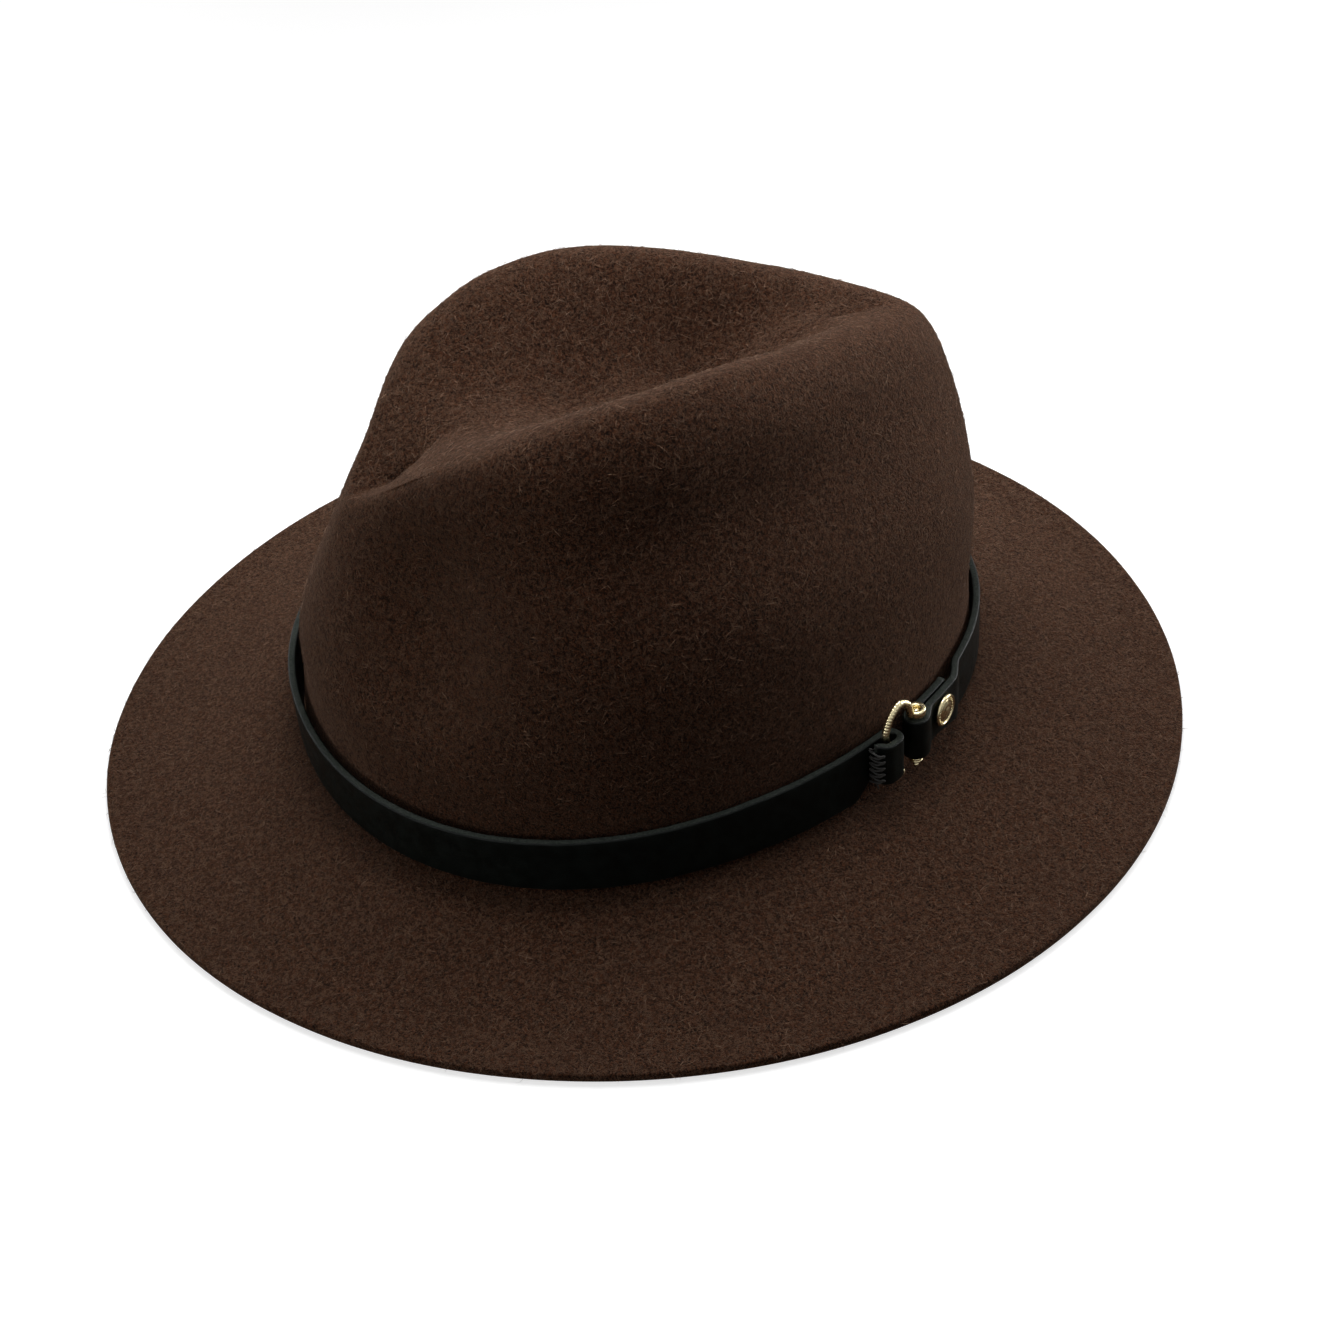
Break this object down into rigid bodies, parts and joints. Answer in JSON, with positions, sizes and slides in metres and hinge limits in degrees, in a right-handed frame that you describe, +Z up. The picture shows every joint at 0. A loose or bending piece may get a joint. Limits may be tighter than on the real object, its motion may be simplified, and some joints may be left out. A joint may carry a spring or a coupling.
{
  "type": "soft felt fedora hat",
  "caption": "Soft brown felt fedora with a teardrop crown, front pinches, a raw-edged brim and a leather band closed by an open hoop buckle.",
  "frame": {"origin": "under the middle of the hat, on the plane that the brim's edge rests on", "axes": "the wearer looks along -Y, the wearer's left (the buckle's side) is +X, and +Z is up out of the crown"},
  "size_m": [0.3138, 0.3232, 0.129],
  "materials": {
    "felt": "brushed wool felt, matt",
    "strap_leather": "smooth, satin, paler cut edge",
    "sweatband_leather": "thin smooth leather",
    "satin": "satin weave lining",
    "ribbon": "ribbed ribbon",
    "dark_thread": "twisted thread",
    "tag_card": "blank woven tag",
    "reed_plastic": "drawn cord",
    "gold_metal": "pale gold plate, polished"
  },
  "bodies": {
    "hat": {"felt_hood": "felt", "hatband_strap": "strap_leather", "loop_thread": "dark_thread", "sweatband": "sweatband_leather", "sweatband_reed": "reed_plastic", "sweatband_stitching": "dark_thread", "sweatband_join": "ribbon", "size_tag": "tag_card", "bow_loops": "ribbon", "bow_knot": "ribbon", "lining_side": "satin", "lining_tip": "satin", "lining_piping": "ribbon"},
    "hoop": {"buckle_hoop": "gold_metal"},
    "pin": {"buckle_pin": "gold_metal", "pin_collar": "gold_metal"},
    "stud": {"stud_cap": "gold_metal", "stud_post": "gold_metal", "stud_washer": "gold_metal"}
  },
  "joints": [
    {"name": "hoop_rock", "type": "hinge", "parent": "hat", "child": "hoop", "pos_m": [0.07917, 0.05404, 0.0231], "axis": [0, 0, 1], "range_deg": [-1, 1]},
    {"name": "pin_spin", "type": "hinge", "parent": "hat", "child": "pin", "pos_m": [0.07917, 0.05404, 0.0231], "axis": [0, 0, 1], "continuous": true},
    {"name": "stud_turn", "type": "hinge", "parent": "hat", "child": "stud", "pos_m": [0.07086, 0.06272, 0.0241], "axis": [0.8314, 0.5557, 0], "continuous": true}
  ]
}
